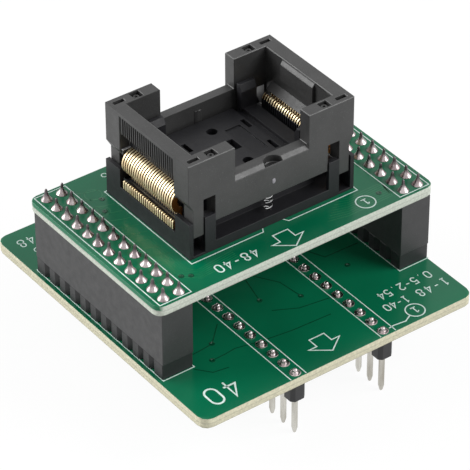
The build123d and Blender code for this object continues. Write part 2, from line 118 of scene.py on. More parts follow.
def noise(mat, scale, detail=4.0, stretch=(1, 1, 1)):
    """Noise in the piece's own coordinates, with its scale in waves per metre."""
    where = add_node(mat, "ShaderNodeTexCoord")
    mapping = add_node(mat, "ShaderNodeMapping", Vector=where.outputs["Object"], Scale=stretch)
    made = add_node(mat, "ShaderNodeTexNoise", Vector=mapping.outputs["Vector"], Scale=scale, Detail=detail)
    return made.outputs["Fac"]


def ramp(mat, factor, low, high, color_low, color_high):
    """A colour that goes from one to the other as the factor goes from low to high."""
    made = add_node(mat, "ShaderNodeValToRGB", Fac=factor)
    first, last = made.color_ramp.elements
    first.position, last.position = low, high
    first.color, last.color = color_low, color_high
    return made.outputs["Color"]


def spread(mat, factor, low, high):
    """A value that follows the factor between two limits."""
    made = add_node(mat, "ShaderNodeMapRange", Value=factor, From_Min=0.3, From_Max=0.7,
                    To_Min=low, To_Max=high)
    return made.outputs["Result"]


def share_between(mat, value, low, high):
    """0 below the low value, 1 above the high one, and an even rise between them."""
    made = add_node(mat, "ShaderNodeMapRange", Value=value, From_Min=low, From_Max=high)
    return made.outputs["Result"]


def blended(mat, factor, first, second, mode="MIX"):
    """The first colour where the factor is 0 and the second where it is 1."""
    made = add_node(mat, "ShaderNodeMix")
    made.data_type = "RGBA"
    made.blend_type = mode
    for socket, value in ((made.inputs["Factor"], factor), (made.inputs[6], first), (made.inputs[7], second)):
        if isinstance(value, bpy.types.NodeSocket):
            mat.node_tree.links.new(value, socket)
        else:
            socket.default_value = value
    return made.outputs[2]


def computed(mat, operation, *values):
    """The result of one operation on linked values."""
    made = add_node(mat, "ShaderNodeMath")
    made.operation = operation
    for socket, value in zip(made.inputs, values):
        mat.node_tree.links.new(value, socket)
    return made.outputs["Value"]


def place_and_facing(mat):
    """Three values for the place on the piece, and three for the way its surface faces."""
    where = add_node(mat, "ShaderNodeTexCoord")
    place = add_node(mat, "ShaderNodeSeparateXYZ", Vector=where.outputs["Object"])
    facing = add_node(mat, "ShaderNodeSeparateXYZ", Vector=where.outputs["Normal"])
    return place.outputs, facing.outputs


def add_bump(mat, shader, height, strength, distance):
    """Fine relief on the surface, with its depth in millimetres."""
    made = add_node(mat, "ShaderNodeBump", Height=height, Strength=strength, Distance=distance * MM)
    mat.node_tree.links.new(made.outputs["Normal"], shader.inputs["Normal"])


def plug(mat, output, shader, name):
    """Links a result to an input of the shader."""
    mat.node_tree.links.new(output, shader.inputs[name])


def plastic(name, color, roughness, grain, specular=0.5):
    """Moulded plastic: cloudy tone, pale flecks of filler and a fine grain."""
    mat, shader = new_material(name, roughness, specular=specular)
    cloud = ramp(mat, noise(mat, 260), 0.3, 0.7, scaled(color, 0.86), scaled(color, 1.14))
    flecks = ramp(mat, noise(mat, 5200, 2), 0.6, 0.78, (0, 0, 0, 1), (1, 1, 1, 1))
    plug(mat, blended(mat, flecks, cloud, scaled(color, 1.9)), shader, "Base Color")
    plug(mat, spread(mat, noise(mat, 900), roughness - 0.06, roughness + 0.08), shader, "Roughness")
    add_bump(mat, shader, noise(mat, 4200, 3), 0.5, grain)
    return mat


def metal(name, color, roughness, dark, streaks=(1, 1, 1), tips=None, metallic=1.0, sides=None):
    """Plated or soldered metal with darker stains and uneven gloss.

    It can be darker above a level, and have its faces to the front and back painted a darker colour, as
    painted shade and painted reflection from neighbouring strips.
    """
    mat, shader = new_material(name, roughness, metallic=metallic)
    place, facing = place_and_facing(mat)
    tone = ramp(mat, noise(mat, 700, 5, streaks), 0.38, 0.62, dark, color)
    if tips:
        level, tip_color = tips
        above = share_between(mat, place["Z"], (level - 0.3) * MM, (level + 0.3) * MM)
        tone = blended(mat, above, tone, tip_color)
    # Painted shade and reflection: faces that point to the front or back take a darker colour.
    if sides:
        tone = blended(mat, computed(mat, "ABSOLUTE", facing["Y"]), tone, sides)
    plug(mat, tone, shader, "Base Color")
    gloss = spread(mat, noise(mat, 1900, 3, streaks), roughness - 0.07, roughness + 0.12)
    plug(mat, gloss, shader, "Roughness")
    add_bump(mat, shader, noise(mat, 1500, 2, streaks), 0.12, 0.02)
    return mat


def board(name, mask, edge, low, high, left_reflection_share=0.0):
    """A printed board: glossy mask on its faces, and bare laminate on its sawn edges.

    The mask's colour and gloss can be painted a little way down the edges that face left, as a painted
    reflection on the bare laminate.
    """
    mat, shader = new_material(name, 0.3, specular=0.32)
    place, facing = place_and_facing(mat)
    cloud = ramp(mat, noise(mat, 55, 3), 0.35, 0.65, scaled(mask, 0.88), scaled(mask, 1.12))
    layer = share_between(mat, place["Z"], low * MM, high * MM)
    layers = add_node(mat, "ShaderNodeValToRGB", Fac=layer)
    first, last = layers.color_ramp.elements
    first.color, last.color = scaled(edge, 0.6), scaled(edge, 0.95)
    for share, tone in ((0.12, 0.95), (0.42, 1.0), (0.5, 0.78), (0.58, 1.02), (0.88, 1.06)):
        layers.color_ramp.elements.new(share).color = scaled(edge, tone)
    fibre = ramp(mat, noise(mat, 3100, 5), 0.35, 0.62, (0.8, 0.8, 0.8, 1), (1, 1, 1, 1))
    laminate = blended(mat, 1.0, layers.outputs["Color"], fibre, "MULTIPLY")
    masked = share_between(mat, computed(mat, "ABSOLUTE", facing["Z"]), 0.55, 0.75)
    # Painted reflection: the mask's green over the upper part of the left-facing edges.
    if left_reflection_share:
        on_left = share_between(mat, facing["X"], -0.2, -0.6)
        reflection_band = share_between(mat, layer, 1.0 - left_reflection_share - 0.05, 1.0 - left_reflection_share + 0.05)
        masked = computed(mat, "MAXIMUM", computed(mat, "MULTIPLY", on_left, reflection_band), masked)
    plug(mat, blended(mat, masked, laminate, cloud), shader, "Base Color")
    gloss = add_node(mat, "ShaderNodeMapRange", Value=masked, To_Min=0.75, To_Max=0.24)
    plug(mat, gloss.outputs["Result"], shader, "Roughness")
    add_bump(mat, shader, noise(mat, 420, 3), 0.12, 0.05)
    return mat


def ink(name, color, roughness=0.55):
    """Printed ink, a covered track or a painted glint, slightly uneven in tone."""
    mat, shader = new_material(name, roughness)
    plug(mat, ramp(mat, noise(mat, 1500, 3), 0.35, 0.65, scaled(color, 0.82), color), shader, "Base Color")
    add_bump(mat, shader, noise(mat, 3000, 3), 0.3, 0.02)
    return mat


BASE_MASK = board("base_mask", srgb(8, 108, 74), srgb(214, 210, 184), BASE_UNDER, BASE_TOP)
# The adapter board's left edge carries a painted reflection in the mask's green over its upper part.
ADAPTER_MASK = board("adapter_mask", srgb(4, 112, 76), srgb(204, 210, 198), ADAPTER_UNDER, ADAPTER_TOP,
                     left_reflection_share=0.42)
TRACE = ink("trace_under_mask", srgb(28, 128, 84), 0.26)
TRACE_DARK = ink("trace_shadow", srgb(2, 76, 50), 0.26)
WHITE_INK = ink("white_ink", srgb(234, 255, 248))
# Painted glint: a near-white colour for the bright top edges of the window ribs.
PAINTED_GLINT = ink("painted_glint", srgb(240, 240, 246))
COVER_PLASTIC = plastic("cover_plastic", srgb(54, 54, 54), 0.4, 0.02)
PALE_PLASTIC = plastic("pale_plastic", srgb(140, 138, 144), 0.3, 0.01)
SOCKET_PLASTIC = plastic("socket_plastic", srgb(28, 28, 31), 0.45, 0.015, 0.36)
# Fin plastic: the socket's dark plastic made a little lighter and bluer, painted light on fins that stand in
# shade.
FIN_PLASTIC = plastic("fin_plastic", srgb(34, 34, 38), 0.42, 0.01)
HOUSING_PLASTIC = plastic("housing_plastic", srgb(47, 47, 48), 0.45, 0.012)
STRIP_PLASTIC = plastic("strip_plastic", srgb(26, 26, 28), 0.42, 0.012)
TIN = metal("tin_plate", srgb(206, 204, 196), 0.28, srgb(168, 164, 154), (1, 1, 0.2))
SOLDER = metal("solder", srgb(208, 198, 198), 0.24, srgb(172, 160, 161))
TAIL_SOLDER = metal("tail_solder", srgb(194, 184, 184), 0.27, srgb(142, 130, 131),
                    tips=(ADAPTER_TOP + 0.9, srgb(98, 92, 94)))
# The contacts' faces to the front and back are painted brown-orange: painted reflection and shade between the
# close-packed contacts.
GOLD = metal("gold_plate", srgb(255, 240, 198), 0.32, srgb(236, 212, 166), (1, 1, 0.3), metallic=0.6,
             sides=srgb(142, 88, 36))
LEAF_METAL = metal("leaf_metal", srgb(226, 200, 150), 0.3, srgb(180, 150, 100))
SPRING_STEEL = metal("spring_steel", srgb(222, 222, 222), 0.18, srgb(150, 150, 152))


# Mesh pieces
class Shape:
    """Collects the points and faces of one piece, in millimetres."""

    def __init__(self):
        self.points = []
        self.faces = []

    def add(self, points, faces):
        start = len(self.points)
        self.points += [tuple(point) for point in points]
        self.faces += [[start + i for i in face] for face in faces]

    def piece(self, name, material, body, slot, stands_for=(), smooth=False):
        """Makes the piece, lets it ride on a body, and lets it stand for the solids that it refines."""
        mesh = bpy.data.meshes.new(name)
        mesh.from_pydata([(x * MM, y * MM, z * MM) for x, y, z in self.points], [], self.faces)
        mesh.validate()
        outward = bmesh.new()
        outward.from_mesh(mesh)
        bmesh.ops.recalc_face_normals(outward, faces=outward.faces)
        outward.to_mesh(mesh)
        outward.free()
        mesh.materials.append(material)
        for face in mesh.polygons:
            face.use_smooth = smooth
        made = bpy.data.objects.new(name, mesh)
        bpy.context.scene.collection.objects.link(made)
        if smooth:
            mark = made.modifiers.new("sharp", "EDGE_SPLIT")
            mark.split_angle = math.radians(42)
        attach(made, body)
        if stands_for:
            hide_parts(*stands_for)
        return made


def row(count, middle, pitch=PITCH):
    """Evenly spaced places on both sides of a middle."""
    return [middle + (i - (count - 1) / 2) * pitch for i in range(count)]


def ring_faces(rings, sides):
    """Quads between rings of points that follow one another, and a face over each end."""
    faces = []
    for k in range(rings - 1):
        for i in range(sides):
            j = (i + 1) % sides
            faces.append([k * sides + i, k * sides + j, (k + 1) * sides + j, (k + 1) * sides + i])
    faces.append(list(reversed(range(sides))))
    faces.append([(rings - 1) * sides + i for i in range(sides)])
    return faces


def lathe(shape, profile, middle, sides=16, lean=(0, 0)):
    """A turned form from the first to the last point of a profile of radius and height."""
    cx, cy, cz = middle
    points = []
    for radius, height in profile:
        dx, dy = lean[0] * height, lean[1] * height
        for i in range(sides):
            turn = math.tau * i / sides
            points.append((cx + dx + radius * math.cos(turn), cy + dy + radius * math.sin(turn), cz + height))
    shape.add(points, ring_faces(len(profile), sides))


def ribbon(shape, line, width, low, height=INK_T, closed=False):
    """A flat printed line with mitred corners."""
    high = low + height
    count = len(line)
    left, right = [], []
    for i, (x, y) in enumerate(line):
        before = line[i - 1] if closed or i > 0 else None
        after = line[(i + 1) % count] if closed or i < count - 1 else None
        steps = []
        if before:
            steps.append(Vector((x - before[0], y - before[1])).normalized())
        if after:
            steps.append(Vector((after[0] - x, after[1] - y)).normalized())
        along = sum(steps, Vector((0, 0))).normalized()
        across = Vector((-along.y, along.x))
        reach = width / 2 / max(0.4, abs(along.dot(steps[0])))
        left.append((x + across.x * reach, y + across.y * reach))
        right.append((x - across.x * reach, y - across.y * reach))
    points = []
    for (lx, ly), (rx, ry) in zip(left, right):
        points += [(lx, ly, low), (lx, ly, high), (rx, ry, high), (rx, ry, low)]
    faces = []
    for i in range(count if closed else count - 1):
        j = (i + 1) % count
        for k in range(4):
            faces.append([4 * i + k, 4 * j + k, 4 * j + (k + 1) % 4, 4 * i + (k + 1) % 4])
    if not closed:
        faces.append([3, 2, 1, 0])
        faces.append([4 * count - 4 + k for k in range(4)])
    shape.add(points, faces)


def band(shape, line, widths, y, thickness):
    """A stamped strip: a path in the XZ plane with a width at each point."""
    points = []
    count = len(line)
    for i, (x, z) in enumerate(line):
        before = line[max(i - 1, 0)]
        after = line[min(i + 1, count - 1)]
        along = Vector((after[0] - before[0], after[1] - before[1])).normalized()
        across = Vector((-along.y, along.x)) * widths[i] / 2
        for dy in (-thickness / 2, thickness / 2):
            points.append((x + across.x, y + dy, z + across.y))
        for dy in (thickness / 2, -thickness / 2):
            points.append((x - across.x, y + dy, z - across.y))
    shape.add(points, ring_faces(count, 4))


def prism(shape, outline, low, high):
    """A straight piece with a flat outline in plan."""
    points = [(x, y, z) for z in (low, high) for x, y in outline]
    shape.add(points, ring_faces(2, len(outline)))


def plate(shape, outline, y, thickness):
    """A flat stamping with its outline in the XZ plane."""
    points = [(x, y + dy, z) for dy in (-thickness / 2, thickness / 2) for x, z in outline]
    shape.add(points, ring_faces(2, len(outline)))


def sided(side, points):
    """Points of a right-hand profile, for the given side."""
    return [(side * x, z) for x, z in points]


def tube(shape, path, radius, sides=8):
    """A round wire along a path of points."""
    points = []
    count = len(path)
    for i, here in enumerate(path):
        along = (path[min(i + 1, count - 1)] - path[max(i - 1, 0)]).normalized()
        out = Vector((0, 0, 1)).cross(along)
        out = out.normalized() if out.length > 0.1 else Vector((1, 0, 0))
        up = along.cross(out)
        for k in range(sides):
            turn = math.tau * k / sides
            points.append(here + (out * math.cos(turn) + up * math.sin(turn)) * radius)
    shape.add(points, ring_faces(count, sides))


def add_edges(node, width, material, segments=2):
    """Rounds a solid's edges a little and gives it its finish."""
    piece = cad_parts[node]
    piece.data.materials.clear()
    piece.data.materials.append(material)
    weld = piece.modifiers.new("weld", "WELD")
    weld.merge_threshold = 0.000001
    bevel = piece.modifiers.new("edges", "BEVEL")
    bevel.width = width * MM
    bevel.segments = segments
    bevel.limit_method = "ANGLE"
    bevel.angle_limit = math.radians(32)
    bevel.use_clamp_overlap = False
    for face in piece.data.polygons:
        face.use_smooth = False


def smooth_edges(node):
    """Lets only the rounded edges of a flat piece shade smoothly."""
    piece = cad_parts[node]
    for face in piece.data.polygons:
        face.use_smooth = True
    piece.modifiers.new("flat_faces", "WEIGHTED_NORMAL").weight = 100


def soften(piece):
    """A very small rounding on the edges of a mesh piece."""
    bevel = piece.modifiers.new("edges", "BEVEL")
    bevel.width = 0.05 * MM
    bevel.segments = 2
    bevel.limit_method = "ANGLE"


# Boards and moulded parts
add_edges("base_board", 0.09, BASE_MASK)
add_edges("adapter_board", 0.09, ADAPTER_MASK)
add_edges("test_socket_cover", 0.08, COVER_PLASTIC, 1)
add_edges("test_socket_base", 0.05, SOCKET_PLASTIC)
for side_name, _ in SIDES:
    add_edges(side_name + "_header_strip", 0.09, STRIP_PLASTIC)
    add_edges(side_name + "_header_pins", 0.03, TIN, 1)
    add_edges(side_name + "_socket_housing", 0.08, HOUSING_PLASTIC)
    add_edges(side_name + "_socket_leaves", 0.02, LEAF_METAL, 1)
    add_edges(side_name + "_dip_pins", 0.05, TIN)
smooth_edges("base_board")
smooth_edges("adapter_board")


# Snap-off strips under the base board
STRIP_W = 2.5
STRIP_END = 1.1
STRIP_CUT = 0.5
STRIP_CUT_FLAT = 0.06


def strip_outline(x):
    """A strip seen from above, with a V-shaped cut on both sides between two pins."""
    side = STRIP_W / 2
    bottom = side - STRIP_CUT
    half = (ROW_PINS - 1) / 2 * PITCH + STRIP_END
    edge = [(bottom, -half), (side, -half + STRIP_CUT)]
    for y in row(ROW_PINS - 1, 0):
        edge += [(side, y - STRIP_CUT), (bottom, y - STRIP_CUT_FLAT)]
        edge += [(bottom, y + STRIP_CUT_FLAT), (side, y + STRIP_CUT)]
    edge += [(side, half - STRIP_CUT), (bottom, half)]
    both = edge + [(-px, -py) for px, py in edge]
    return [(x + px, ROW_Y + py) for px, py in both]


def grooved_strip(side_name):
    strip = Shape()
    prism(strip, strip_outline(ROW_X[side_name]), STRIP_LOW, BASE_UNDER)
    soften(strip.piece(side_name + "_grooved_strip", STRIP_PLASTIC, "base_module", "strip_plastic",
                       [side_name + "_dip_strip"]))


for side_name, _ in SIDES:
    grooved_strip(side_name)


# Solder: profiles of radius and height over the board's face
TAIL = [(0.84, -0.02), (0.84, 0.04), (0.8, 0.1), (0.73, 0.19), (0.64, 0.3), (0.54, 0.43), (0.44, 0.58),
        (0.36, 0.74), (0.29, 0.92), (0.25, 1.1), (0.225, 1.28), (0.21, 1.46), (0.18, 1.64), (0.12, 1.77),
        (0.05, 1.83), (0.01, 1.85)]
JOINT = [(0.84, -0.02), (0.84, 0.05), (0.76, 0.08), (0.62, 0.06), (0.5, 0.03), (0.42, 0.06), (0.38, 0.16),
         (0.36, 0.34), (0.34, 0.5), (0.29, 0.62), (0.2, 0.7), (0.1, 0.74), (0.02, 0.75)]
UNDER = [(0.82, 0.02), (0.82, -0.05), (0.72, -0.16), (0.58, -0.34), (0.47, -0.6), (0.4, -0.9), (0.34, -1.2),
         (0.26, -1.4), (0.12, -1.49), (0.03, -1.5)]
TAIL_LEAN = 0.035


def varied(profile, number, amount):
    """A profile with its fillet a little fuller or leaner than the last one."""
    swing = amount * math.sin(number * 2.399)
    middle = profile[len(profile) // 2][1]
    return [(r * (1 + swing * max(0, 1 - abs(z / middle - 1))), z) for r, z in profile]


def header_places(side):
    """The places of one header's pins, numbered for what varies from pin to pin."""
    columns = (side * HEADER_X - PITCH / 2, side * HEADER_X + PITCH / 2)
    return enumerate((x, y) for x in columns for y in row(HEADER_PINS, HEADER_Y))


def solder_tails(side_name, side):
    tails = Shape()
    for number, (x, y) in header_places(side):
        lean = (TAIL_LEAN * math.sin(number * 1.7), TAIL_LEAN * math.cos(number * 2.3))
        lathe(tails, varied(TAIL, number, 0.14), (x, y, ADAPTER_TOP), 20, lean)
    tails.piece(side_name + "_solder_tails", TAIL_SOLDER, "adapter_module", "solder",
                [side_name + "_soldered_tails"], smooth=True)


def header_joints(side_name, side):
    under = Shape()
    for number, (x, y) in header_places(side):
        lathe(under, varied(UNDER, number, 0.1), (x, y, BASE_UNDER), 16)
    under.piece(side_name + "_header_joints", SOLDER, "base_module", "solder",
                [side_name + "_header_solder"], smooth=True)


def row_joints(side_name):
    joints = Shape()
    for number, y in enumerate(row(ROW_PINS, ROW_Y)):
        lathe(joints, varied(JOINT, number, 0.12), (ROW_X[side_name], y, BASE_TOP), 20)
    joints.piece(side_name + "_row_joints", SOLDER, "base_module", "solder",
                 [side_name + "_dip_solder"], smooth=True)


for side_name, side in SIDES:
    solder_tails(side_name, side)
    header_joints(side_name, side)
    row_joints(side_name)


# Sprung contacts of the chip socket
LOOP_X = 12.06
LOOP_Z = 30.2
LOOP_OUT = 2.14
LOOP_STEPS = 20
LOOP_START = -76
LOOP_END = 90
LOOP_NARROWS = 20
LOOP_FULL_W = 1.0
LOOP_END_W = 0.4
NECK = [(12.3, 26.0), (12.3, 27.3)]
NECK_WIDTHS = [0.5, 0.5]
REACH = [(11.9, 31.9), (11.6, 31.3), (11.25, 30.8), (10.92, 30.66)]
REACH_WIDTHS = [0.36, 0.34, 0.3, 0.26]
TIP = [(10.7, 30.9), (10.58, 31.5), (10.48, 31.96), (10.38, 32.1), (10.26, 32.0), (10.08, 31.74),
       (9.95, 31.46)]
TIP_WIDTHS = [0.24, 0.22, 0.2, 0.2, 0.2, 0.2, 0.16]
TIP_T = 0.19
LEG = [(12.1, SOCKET_FLOOR), (13.35, SOCKET_FLOOR), (13.35, 26.0), (14.0, 26.02), (14.02, 26.1),
       (14.02, 27.22), (13.95, 27.33), (13.78, 27.36), (13.62, 27.2), (13.5, 26.3), (12.1, 26.2)]


def loop_line():
    """The outer loop from its lower end to its top, and its width, which narrows over the top."""
    line = []
    widths = []
    for step in range(LOOP_STEPS + 1):
        angle = LOOP_START + step * (LOOP_END - LOOP_START) / LOOP_STEPS
        narrowed = max(0, angle - LOOP_NARROWS) / (LOOP_END - LOOP_NARROWS)
        width = LOOP_FULL_W - (LOOP_FULL_W - LOOP_END_W) * narrowed
        turn = math.radians(angle)
        out = LOOP_OUT - width / 2
        line.append((LOOP_X + out * math.cos(turn), LOOP_Z + out * math.sin(turn)))
        widths.append(width)
    return line, widths


def chip_contacts(side_name, side):
    """A row of contacts: a flush leg, a wide loop outside, and a thin tip over the seat."""
    loop, loop_widths = loop_line()
    line = sided(side, NECK + loop + REACH)
    widths = NECK_WIDTHS + loop_widths + REACH_WIDTHS
    tip = sided(side, REACH[-1:] + TIP)
    tip_widths = REACH_WIDTHS[-1:] + TIP_WIDTHS
    contacts = Shape()
    for y in row(LEADS, SOCKET_Y, LEAD_PITCH):
        plate(contacts, sided(side, LEG), y, CONTACT_T)
        band(contacts, line, widths, y, CONTACT_T)
        band(contacts, tip, tip_widths, y, TIP_T)
    made = contacts.piece(side_name + "_looped_contacts", GOLD, "adapter_module", "gold",
                          [side_name + "_chip_contacts"], smooth=True)
    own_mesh(made)


for side_name, side in SIDES:
    chip_contacts(side_name, side)


# Thin walls between the contacts, with the low wall that closes them to the outside
FIN_T = 0.18
FIN = [(10.0, SOCKET_FLOOR - 0.05), (13.47, SOCKET_FLOOR - 0.05), (13.47, 25.9), (12.95, 26.4),
       (12.85, 27.05), (12.5, 27.2), (12.3, 29.6), (11.9, 30.4), (10.62, 30.4), (10.62, 31.5), (10.25, 31.5),
       (10.0, 31.2)]
LOW_WALL_X = (12.68, 13.08)
LOW_WALL_Z = (26.35, 27.0)


def contact_fins(side_name, side):
    fins = Shape()
    for y in row(LEADS + 1, SOCKET_Y, LEAD_PITCH):
        plate(fins, sided(side, FIN), y, FIN_T)
    left, right = sorted(side * x for x in LOW_WALL_X)
    front = SOCKET_Y - LEADS * LEAD_PITCH / 2
    rear = SOCKET_Y + LEADS * LEAD_PITCH / 2
    prism(fins, [(left, front), (right, front), (right, rear), (left, rear)], *LOW_WALL_Z)
    # The fins take the lighter fin plastic: painted light on walls that sit in shade.
    fins.piece(side_name + "_contact_fins", FIN_PLASTIC, "adapter_module", "socket_plastic")


# The cover's windows: a rib at each end with a painted glint, a thin near-white strip, along its top, and the
# roots of the comb's slots in the socket's darker plastic as painted shade
RIB = [(12.42, 31.45), (13.75, 31.45), (13.75, 32.3), (12.42, 32.3)]
RIB_GLINT = [(12.44, 32.24), (13.79, 32.24), (13.79, 32.38), (12.44, 32.38)]
RIB_T = 0.3
RIB_OUT = 6.21
ROOT = [(12.44, 32.62), (12.62, 32.62), (12.62, 33.9), (12.44, 33.9)]
ROOT_T = 0.34


def cover_plates(name, material, outline, places, thickness):
    plates = Shape()
    for y in places:
        plate(plates, outline, y, thickness)
    return plates.piece(name, material, "socket_cover", "cover_plastic")


for side_name, side in SIDES:
    contact_fins(side_name, side)
    window_ends = [SOCKET_Y - RIB_OUT, SOCKET_Y + RIB_OUT]
    soften(cover_plates(side_name + "_window_ribs", COVER_PLASTIC, sided(side, RIB), window_ends, RIB_T))
    # Painted glint: a thin near-white strip along the top of each rib.
    cover_plates(side_name + "_rib_glints", PAINTED_GLINT, sided(side, RIB_GLINT), window_ends, RIB_T)
    # The roots are in the socket's darker plastic, not the cover's: painted shade on the strip under the
    # comb.
    cover_plates(side_name + "_shaded_comb_roots", SOCKET_PLASTIC, sided(side, ROOT),
                 row(LEADS, SOCKET_Y, LEAD_PITCH), ROOT_T)


# Raised rings in the square pockets of the cover, and the ejector mark on its front wall
COVER_TOP = 38.5
COVER_FRONT = -8.8
POCKET_RING = [(0.5, -1.02), (0.5, -0.42), (0.44, -0.36), (0.24, -0.36), (0.2, -0.42), (0.2, -0.7)]
POCKET_X = 9.6
POCKET_Y = 8.65
NUB_X = 0.27
NUB_Z = 30.22
NUB_HALF_X = 0.3
NUB_HALF_Z = 0.45
NUB_PROFILE = ((1.0, -0.02), (0.92, 0.04), (0.6, 0.08), (0.1, 0.1))
NUB_SIDES = 16


def pocket_rings():
    rings = Shape()
    for _, side in SIDES:
        for end in (-1, 1):
            lathe(rings, POCKET_RING, (side * POCKET_X, SOCKET_Y + end * POCKET_Y, COVER_TOP), 18)
    rings.piece("cover_mould_marks", COVER_PLASTIC, "socket_cover", "cover_plastic", smooth=True)


def ejector_mark():
    """A flat oval nub, in a plastic paler than the cover."""
    points = []
    for reach, proud in NUB_PROFILE:
        for step in range(NUB_SIDES):
            turn = math.tau * step / NUB_SIDES
            points.append((NUB_X + NUB_HALF_X * reach * math.cos(turn), COVER_FRONT - proud,
                           NUB_Z + NUB_HALF_Z * reach * math.sin(turn)))
    nub = Shape()
    nub.add(points, ring_faces(len(NUB_PROFILE), NUB_SIDES))
    nub.piece("cover_ejector_mark", PALE_PLASTIC, "socket_cover", "cover_plastic", smooth=True)


pocket_rings()
ejector_mark()


# Return springs
SPRING_TURNS = 6
SPRING_STEPS = 20
SPRING_R = 0.6
WIRE_R = 0.12


def return_spring(name, y):
    """A coil that stands on the socket's floor, with closer turns in its middle."""
    rise = SPRING_TOP - SOCKET_FLOOR - 2 * WIRE_R
    total = SPRING_TURNS * SPRING_STEPS
    coil = []
    for step in range(total + 1):
        turn = math.tau * step / SPRING_STEPS
        share = step / total
        eased = share + 0.035 * math.sin(math.tau * share)
        coil.append(Vector((SPRING_R * math.cos(turn), y + SPRING_R * math.sin(turn),
                            SOCKET_FLOOR + WIRE_R + rise * eased)))
    wire = Shape()
    tube(wire, coil, WIRE_R)
    made = wire.piece(name + "_coil", SPRING_STEEL, "adapter_module", "spring_steel",
                      [name + "_return_spring"], smooth=True)
    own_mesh(made)


return_spring("front", SOCKET_Y - SPRING_Y)
return_spring("rear", SOCKET_Y + SPRING_Y)


# Printed marks, with figures read from the back
def arc(cx, cy, rx, ry, start, end, steps=9):
    """Points of an arc round a centre, between two angles in degrees."""
    turns = [math.radians(start + (end - start) * i / steps) for i in range(steps + 1)]
    return [(cx + rx * math.cos(t), cy + ry * math.sin(t)) for t in turns]


FIGURES = {
    "0": [arc(0.3, 0.7, 0.28, 0.3, 0, 180) + arc(0.3, 0.3, 0.28, 0.3, 180, 360) + [(0.58, 0.7)]],
    "1": [[(0.12, 0.84), (0.3, 1.0), (0.3, 0.0)], [(0.1, 0.0), (0.5, 0.0)]],
    "2": [arc(0.3, 0.72, 0.27, 0.28, 170, -25) + [(0.03, 0.0), (0.58, 0.0)]],
    "4": [[(0.42, 0.0), (0.42, 1.0), (0.02, 0.3), (0.58, 0.3)]],
    "5": [[(0.54, 1.0), (0.09, 1.0), (0.06, 0.56)] + arc(0.29, 0.32, 0.28, 0.32, 125, -150)],
    "8": [arc(0.3, 0.76, 0.23, 0.24, -90, 270, 14), arc(0.3, 0.26, 0.28, 0.26, 90, 450, 14)],
    "-": [[(0.12, 0.5), (0.48, 0.5)]],
    ".": [[(0.26, 0.02), (0.34, 0.02)]],
}
FIGURE_W = 0.6
HEADER_FRAME_X = (17.95, 23.1)
ARROW = [(-1.28, 0.0), (1.28, 0.0), (1.28, -1.75), (2.66, -1.75), (0.0, -3.68), (-2.66, -1.75),
         (-1.28, -1.75)]


def write(shape, text, start, height, width, level, gap=0.3):
    """A line of figures that starts at a point and runs towards -X, with its tops towards -Y."""
    x, y = start
    for letter in text:
        for stroke in FIGURES[letter]:
            ribbon(shape, [(x - u * height, y - v * height) for u, v in stroke], width, level)
        x -= (FIGURE_W + gap) * height


def ring_line(shape, middle, radius, width, level, steps, height=INK_T):
    """A thin closed circle."""
    x, y = middle
    ribbon(shape, arc(x, y, radius, radius, 0, 360, steps)[:-1], width, level, height, closed=True)


def circled_one(shape, middle, radius, level):
    x, y = middle
    ring_line(shape, middle, radius, MARK_W, level, 40)
    ribbon(shape, [(x + 0.02, y - 0.62), (x + 0.02, y + 0.62)], MARK_W, level)
    ribbon(shape, [(x + 0.02, y - 0.62), (x + 0.4, y - 0.3)], MARK_W, level)
    ribbon(shape, [(x - 0.42, y + 0.62), (x + 0.42, y + 0.62)], MARK_W, level)


def arrow(shape, x, y, level):
    """An open arrow that points to the front."""
    ribbon(shape, [(x + px, y + py) for px, py in ARROW], MARK_W, level, closed=True)


def header_frames(shape, front, rear, level):
    """A rectangle round each of the two headers."""
    for _, side in SIDES:
        left, right = sorted(side * x for x in HEADER_FRAME_X)
        corners = [(left, front), (right, front), (right, rear), (left, rear)]
        ribbon(shape, corners, LINE_W, level, closed=True)


def adapter_print():
    """The socket's outline with a notch, an arrow, figures and a pin-one mark."""
    marks = Shape()
    header_frames(marks, -14.62, 15.55, ADAPTER_TOP)
    socket_line = [(-1.73, -8.9), (-2.2, -9.72), (-14.32, -9.72), (-14.32, 11.05), (14.25, 11.05),
                   (14.25, -9.72), (2.2, -9.72), (1.73, -8.9)]
    ribbon(marks, socket_line, LINE_W, ADAPTER_TOP)
    arrow(marks, -0.42, -11.17, ADAPTER_TOP)
    circled_one(marks, (13.42, -12.62), 1.42, ADAPTER_TOP)
    write(marks, "48-40", (-5.5, -11.95), 1.65, 0.23, ADAPTER_TOP)
    ring_line(marks, (-12.1, 14.35), 0.42, LINE_W, ADAPTER_TOP, 18)
    marks.piece("adapter_print", WHITE_INK, "adapter_module", "adapter_mask")


def base_print():
    """Lines beside the pin rows, an arrow, figures and a pin-one mark with its pointer."""
    marks = Shape()
    header_frames(marks, -15.1, 15.8, BASE_TOP)
    for x in (-9.12, -6.51, 6.48, 9.08):
        ribbon(marks, [(x, -25.25), (x, 25.25)], LINE_W, BASE_TOP)
    arrow(marks, -0.62, -19.85, BASE_TOP)
    circled_one(marks, (14.05, -23.35), 1.4, BASE_TOP)
    ribbon(marks, [(12.72, -23.85), (11.46, -24.5), (9.5, -24.25), (8.6, -24.35)], MARK_W, BASE_TOP)
    write(marks, "40", (-15.5, -20.1), 3.4, 0.3, BASE_TOP, 0.28)
    write(marks, "48", (-19.35, 23.1), 1.7, 0.18, BASE_TOP)
    write(marks, "1-48", (21.9, -20.0), 1.5, 0.19, BASE_TOP, 0.36)
    write(marks, "0.5-2.54", (21.0, -17.35), 1.45, 0.19, BASE_TOP, 0.22)
    write(marks, "1-40", (14.9, -19.95), 1.35, 0.19, BASE_TOP, 0.2)
    ring_line(marks, (-20.3, 19.7), 0.55, LINE_W, BASE_TOP, 18)
    marks.piece("base_print", WHITE_INK, "base_module", "base_mask")


adapter_print()
base_print()


